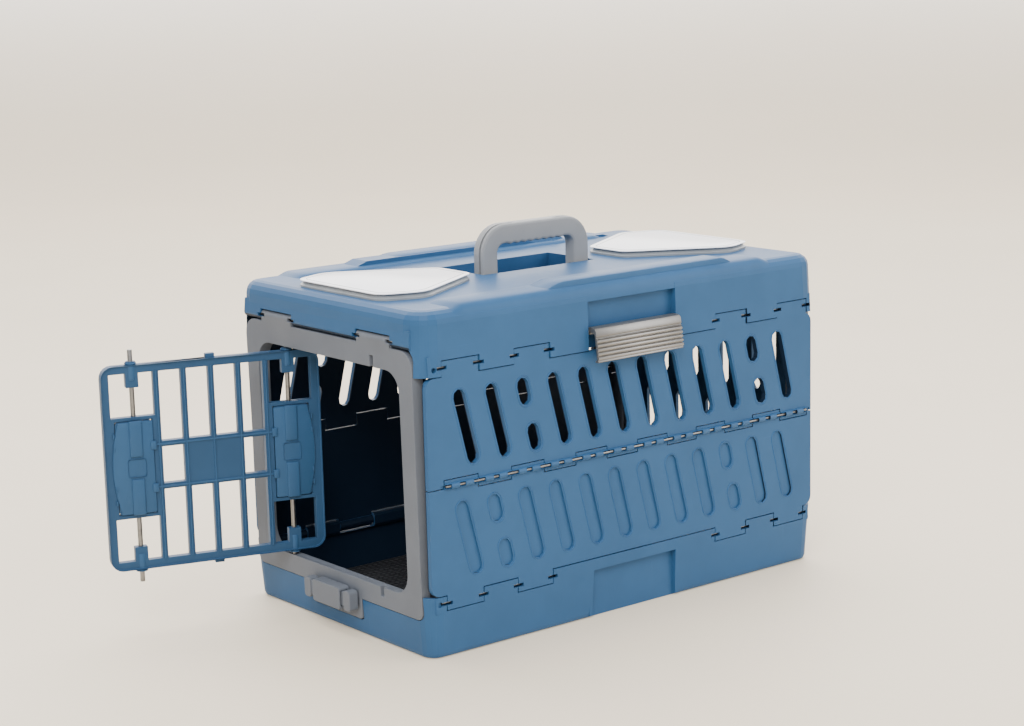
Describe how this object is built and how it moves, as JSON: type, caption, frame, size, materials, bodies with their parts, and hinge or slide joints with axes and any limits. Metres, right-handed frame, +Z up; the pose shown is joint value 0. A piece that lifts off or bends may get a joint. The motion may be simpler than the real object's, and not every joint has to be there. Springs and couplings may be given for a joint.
{
  "type": "pet transport carrier",
  "caption": "Folding hard-sided pet transport carrier with a tray base, hinged slotted side walls, end frames, a grille door with spring bolts, side latches and a carrying handle.",
  "frame": {"origin": "centre of the base tray's flat underside", "axes": "+Z up; +X along the carrier's length, from the door end to the vent end; -Y is the right long side"},
  "size_m": [0.6941, 0.3314, 0.374],
  "materials": {
    "body_blue": "moulded polypropylene, satin",
    "door_blue": "moulded polypropylene, satin, darker blue",
    "frame_grey": "moulded plastic, satin grey",
    "handle_grey": "moulded plastic, satin light grey",
    "latch_silver": "moulded plastic with a silver metallic finish",
    "bezel_silver": "moulded plastic, silver grey",
    "window_white": "frosted white plastic sheet",
    "mat_rubber": "ribbed dark grey rubber",
    "steel": "bright drawn steel wire"
  },
  "bodies": {
    "base": {"base_tray": "body_blue", "floor_mat": "mat_rubber", "left_base_rod_front": "steel", "left_base_rod_rear": "steel", "right_base_rod_front": "steel", "right_base_rod_rear": "steel"},
    "right_lower_wall": {"right_lower_panel": "body_blue", "right_middle_rod": "steel"},
    "right_upper_wall": {"right_upper_panel": "body_blue"},
    "left_lower_wall": {"left_lower_panel": "body_blue", "left_middle_rod": "steel"},
    "left_upper_wall": {"left_upper_panel": "body_blue"},
    "lid": {"lid_shell": "body_blue", "front_frame_rod": "steel", "front_window_bezel": "bezel_silver", "front_window_panel": "window_white", "handle_pin_front": "steel", "handle_pin_rear": "steel", "left_lid_latch_pin": "steel", "left_lid_rod_front": "steel", "left_lid_rod_rear": "steel", "rear_frame_rod": "steel", "rear_window_bezel": "bezel_silver", "rear_window_panel": "window_white", "right_lid_latch_pin": "steel", "right_lid_rod_front": "steel", "right_lid_rod_rear": "steel"},
    "handle": {"handle": "handle_grey"},
    "right_latch": {"right_lid_latch": "latch_silver"},
    "left_latch": {"left_lid_latch": "latch_silver"},
    "front_end": {"front_frame": "frame_grey", "front_latch_housing": "frame_grey"},
    "rear_end": {"rear_frame": "frame_grey", "rear_latch_housing": "frame_grey", "rear_vent_grille": "door_blue"},
    "front_button_right": {"front_latch_button_right": "frame_grey"},
    "front_button_left": {"front_latch_button_left": "frame_grey"},
    "rear_button_right": {"rear_latch_button_right": "frame_grey"},
    "rear_button_left": {"rear_latch_button_left": "frame_grey"},
    "door": {"door_grille": "door_blue", "free_side_latch_plate": "door_blue", "hinge_side_latch_plate": "door_blue", "free_side_lower_spring": "steel", "free_side_upper_spring": "steel", "hinge_side_lower_spring": "steel", "hinge_side_upper_spring": "steel"},
    "free_upper_slide": {"free_side_upper_bolt": "steel", "free_side_upper_finger_tab": "door_blue"},
    "free_lower_slide": {"free_side_lower_bolt": "steel", "free_side_lower_finger_tab": "door_blue"},
    "hinge_upper_slide": {"hinge_side_upper_bolt": "steel", "hinge_side_upper_finger_tab": "door_blue"},
    "hinge_lower_slide": {"hinge_side_lower_bolt": "steel", "hinge_side_lower_finger_tab": "door_blue"}
  },
  "joints": [
    {"name": "fold", "type": "hinge", "parent": "base", "child": "right_lower_wall", "pos_m": [0, -0.1465, 0.0525], "axis": [-1, 0, 0], "range_deg": [0, 88]},
    {"name": "right_middle_hinge", "type": "hinge", "parent": "right_lower_wall", "child": "right_upper_wall", "pos_m": [0, -0.152, 0.163], "axis": [-1, 0, 0], "range_deg": [-176, 0]},
    {"name": "right_lid_hinge", "type": "hinge", "parent": "right_upper_wall", "child": "lid", "pos_m": [0, -0.1465, 0.2735], "axis": [-1, 0, 0], "range_deg": [0, 88]},
    {"name": "left_base_hinge", "type": "hinge", "parent": "base", "child": "left_lower_wall", "pos_m": [0, 0.1465, 0.0525], "axis": [1, 0, 0], "range_deg": [0, 88]},
    {"name": "left_middle_hinge", "type": "hinge", "parent": "left_lower_wall", "child": "left_upper_wall", "pos_m": [0, 0.152, 0.163], "axis": [1, 0, 0], "range_deg": [-176, 0]},
    {"name": "front_end_swing", "type": "hinge", "parent": "lid", "child": "front_end", "pos_m": [-0.2526, 0, 0.2955], "axis": [0, 1, 0], "range_deg": [0, 90]},
    {"name": "rear_end_swing", "type": "hinge", "parent": "lid", "child": "rear_end", "pos_m": [0.2526, 0, 0.2955], "axis": [0, -1, 0], "range_deg": [0, 90]},
    {"name": "handle_fold", "type": "hinge", "parent": "lid", "child": "handle", "pos_m": [0, 0, 0.322], "axis": [-1, 0, 0], "range_deg": [0, 90]},
    {"name": "right_latch_swing", "type": "hinge", "parent": "lid", "child": "right_latch", "pos_m": [0, -0.1498, 0.284], "axis": [-1, 0, 0], "range_deg": [0, 85]},
    {"name": "left_latch_swing", "type": "hinge", "parent": "lid", "child": "left_latch", "pos_m": [0, 0.1498, 0.284], "axis": [1, 0, 0], "range_deg": [0, 85]},
    {"name": "door_swing", "type": "hinge", "parent": "front_end", "child": "door", "pos_m": [-0.25, 0.077, 0.16125], "axis": [0, 0, 1], "range_deg": [-50, 107]},
    {"name": "free_upper_bolt_slide", "type": "slide", "parent": "door", "child": "free_upper_slide", "axis": [0, 0, -1], "range_m": [0, 0.01], "stiffness_N_per_m": 60, "springref_m": -0.004, "deforming": ["free_side_upper_spring"]},
    {"name": "free_lower_bolt_slide", "type": "slide", "parent": "door", "child": "free_lower_slide", "axis": [0, 0, 1], "range_m": [0, 0.01], "stiffness_N_per_m": 60, "springref_m": -0.004, "deforming": ["free_side_lower_spring"]},
    {"name": "hinge_upper_bolt_slide", "type": "slide", "parent": "door", "child": "hinge_upper_slide", "axis": [0, 0, -1], "range_m": [0, 0.01], "stiffness_N_per_m": 60, "springref_m": -0.004, "deforming": ["hinge_side_upper_spring"]},
    {"name": "hinge_lower_bolt_slide", "type": "slide", "parent": "door", "child": "hinge_lower_slide", "axis": [0, 0, 1], "range_m": [0, 0.01], "stiffness_N_per_m": 60, "springref_m": -0.004, "deforming": ["hinge_side_lower_spring"]},
    {"name": "front_button_right_press", "type": "slide", "parent": "front_end", "child": "front_button_right", "axis": [0, 1, 0], "range_m": [0, 0.0045], "stiffness_N_per_m": 60, "springref_m": -0.002},
    {"name": "front_button_left_press", "type": "slide", "parent": "front_end", "child": "front_button_left", "axis": [0, -1, 0], "range_m": [0, 0.0045], "stiffness_N_per_m": 60, "springref_m": -0.002},
    {"name": "rear_button_right_press", "type": "slide", "parent": "rear_end", "child": "rear_button_right", "axis": [0, -1, 0], "range_m": [0, 0.0045], "stiffness_N_per_m": 60, "springref_m": -0.002},
    {"name": "rear_button_left_press", "type": "slide", "parent": "rear_end", "child": "rear_button_left", "axis": [0, 1, 0], "range_m": [0, 0.0045], "stiffness_N_per_m": 60, "springref_m": -0.002}
  ],
  "couplings": [
    {"joint": "right_middle_hinge", "follows": "fold", "ratio": -2},
    {"joint": "right_lid_hinge", "follows": "fold", "ratio": 1},
    {"joint": "left_base_hinge", "follows": "fold", "ratio": 1},
    {"joint": "left_middle_hinge", "follows": "fold", "ratio": -2},
    {"joint": "front_end_swing", "follows": "fold", "ratio": 1.02},
    {"joint": "rear_end_swing", "follows": "fold", "ratio": 1.02}
  ]
}
